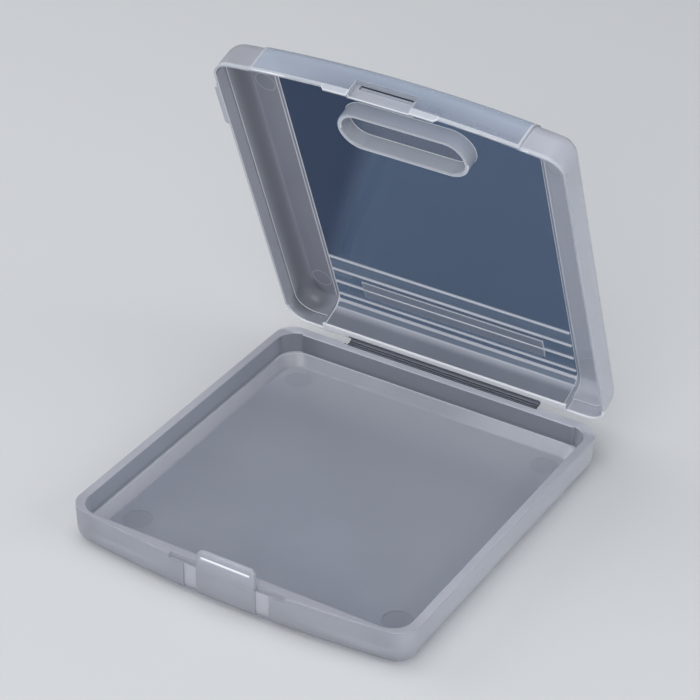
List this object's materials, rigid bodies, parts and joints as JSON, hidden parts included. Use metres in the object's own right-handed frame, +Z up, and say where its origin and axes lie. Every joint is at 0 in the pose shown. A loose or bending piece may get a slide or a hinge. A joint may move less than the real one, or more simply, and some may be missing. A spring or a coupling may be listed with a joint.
{
  "type": "game cartridge case",
  "caption": "Hinged see-through plastic keeper case for a handheld game cartridge: shallow tray and lid on a living hinge, with a snap tongue at the bowed front.",
  "frame": {"origin": "middle of the tray's flat underside, half way between the back face and the crown of the bowed front", "axes": "+Z up, +X to the right seen from the front, +Y to the back, where the hinge is"},
  "size_m": [0.0769, 0.0905, 0.0871],
  "materials": {
    "frosted_plastic": "frosted translucent polypropylene, polished clear across the lid's middle band"
  },
  "bodies": {
    "tray": {"tray": "frosted_plastic"},
    "lid": {"lid": "frosted_plastic"}
  },
  "joints": [
    {"name": "lid_hinge", "type": "hinge", "parent": "tray", "child": "lid", "pos_m": [0, 0.0422, 0.0078], "axis": [-1, 0, 0], "range_deg": [-67.3, 87.7]}
  ]
}
